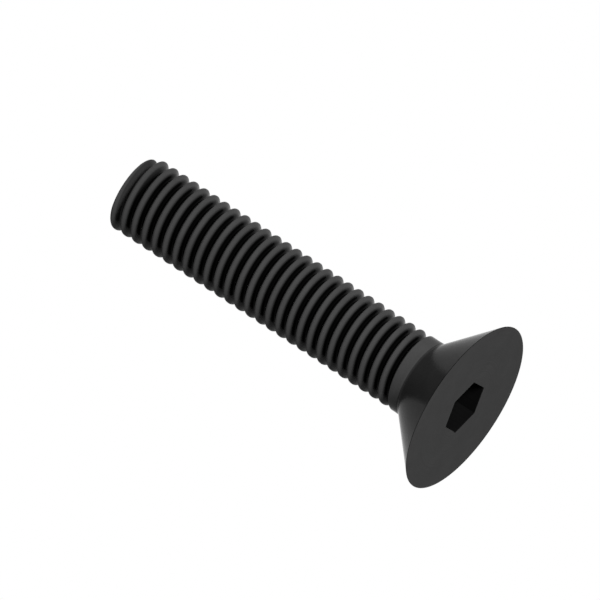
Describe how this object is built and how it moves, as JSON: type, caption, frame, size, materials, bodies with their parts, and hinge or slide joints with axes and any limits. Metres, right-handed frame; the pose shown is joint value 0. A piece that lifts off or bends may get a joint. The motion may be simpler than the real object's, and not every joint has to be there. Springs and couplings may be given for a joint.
{
  "type": "countersunk screw",
  "caption": "Countersunk flat-head machine screw in black steel, with a hexagon socket and a coarse right-hand thread that runs up to a short plain neck.",
  "frame": {"origin": "centre of the flat head face, on which the screw stands", "axes": "+Z along the screw's axis from the head to the tip; +X square to one pair of the socket's flats"},
  "size_m": [0.0178, 0.0178, 0.04],
  "materials": {
    "black_steel": "matte"
  },
  "bodies": {
    "root": {"countersunk_screw": "black_steel"}
  },
  "joints": []
}
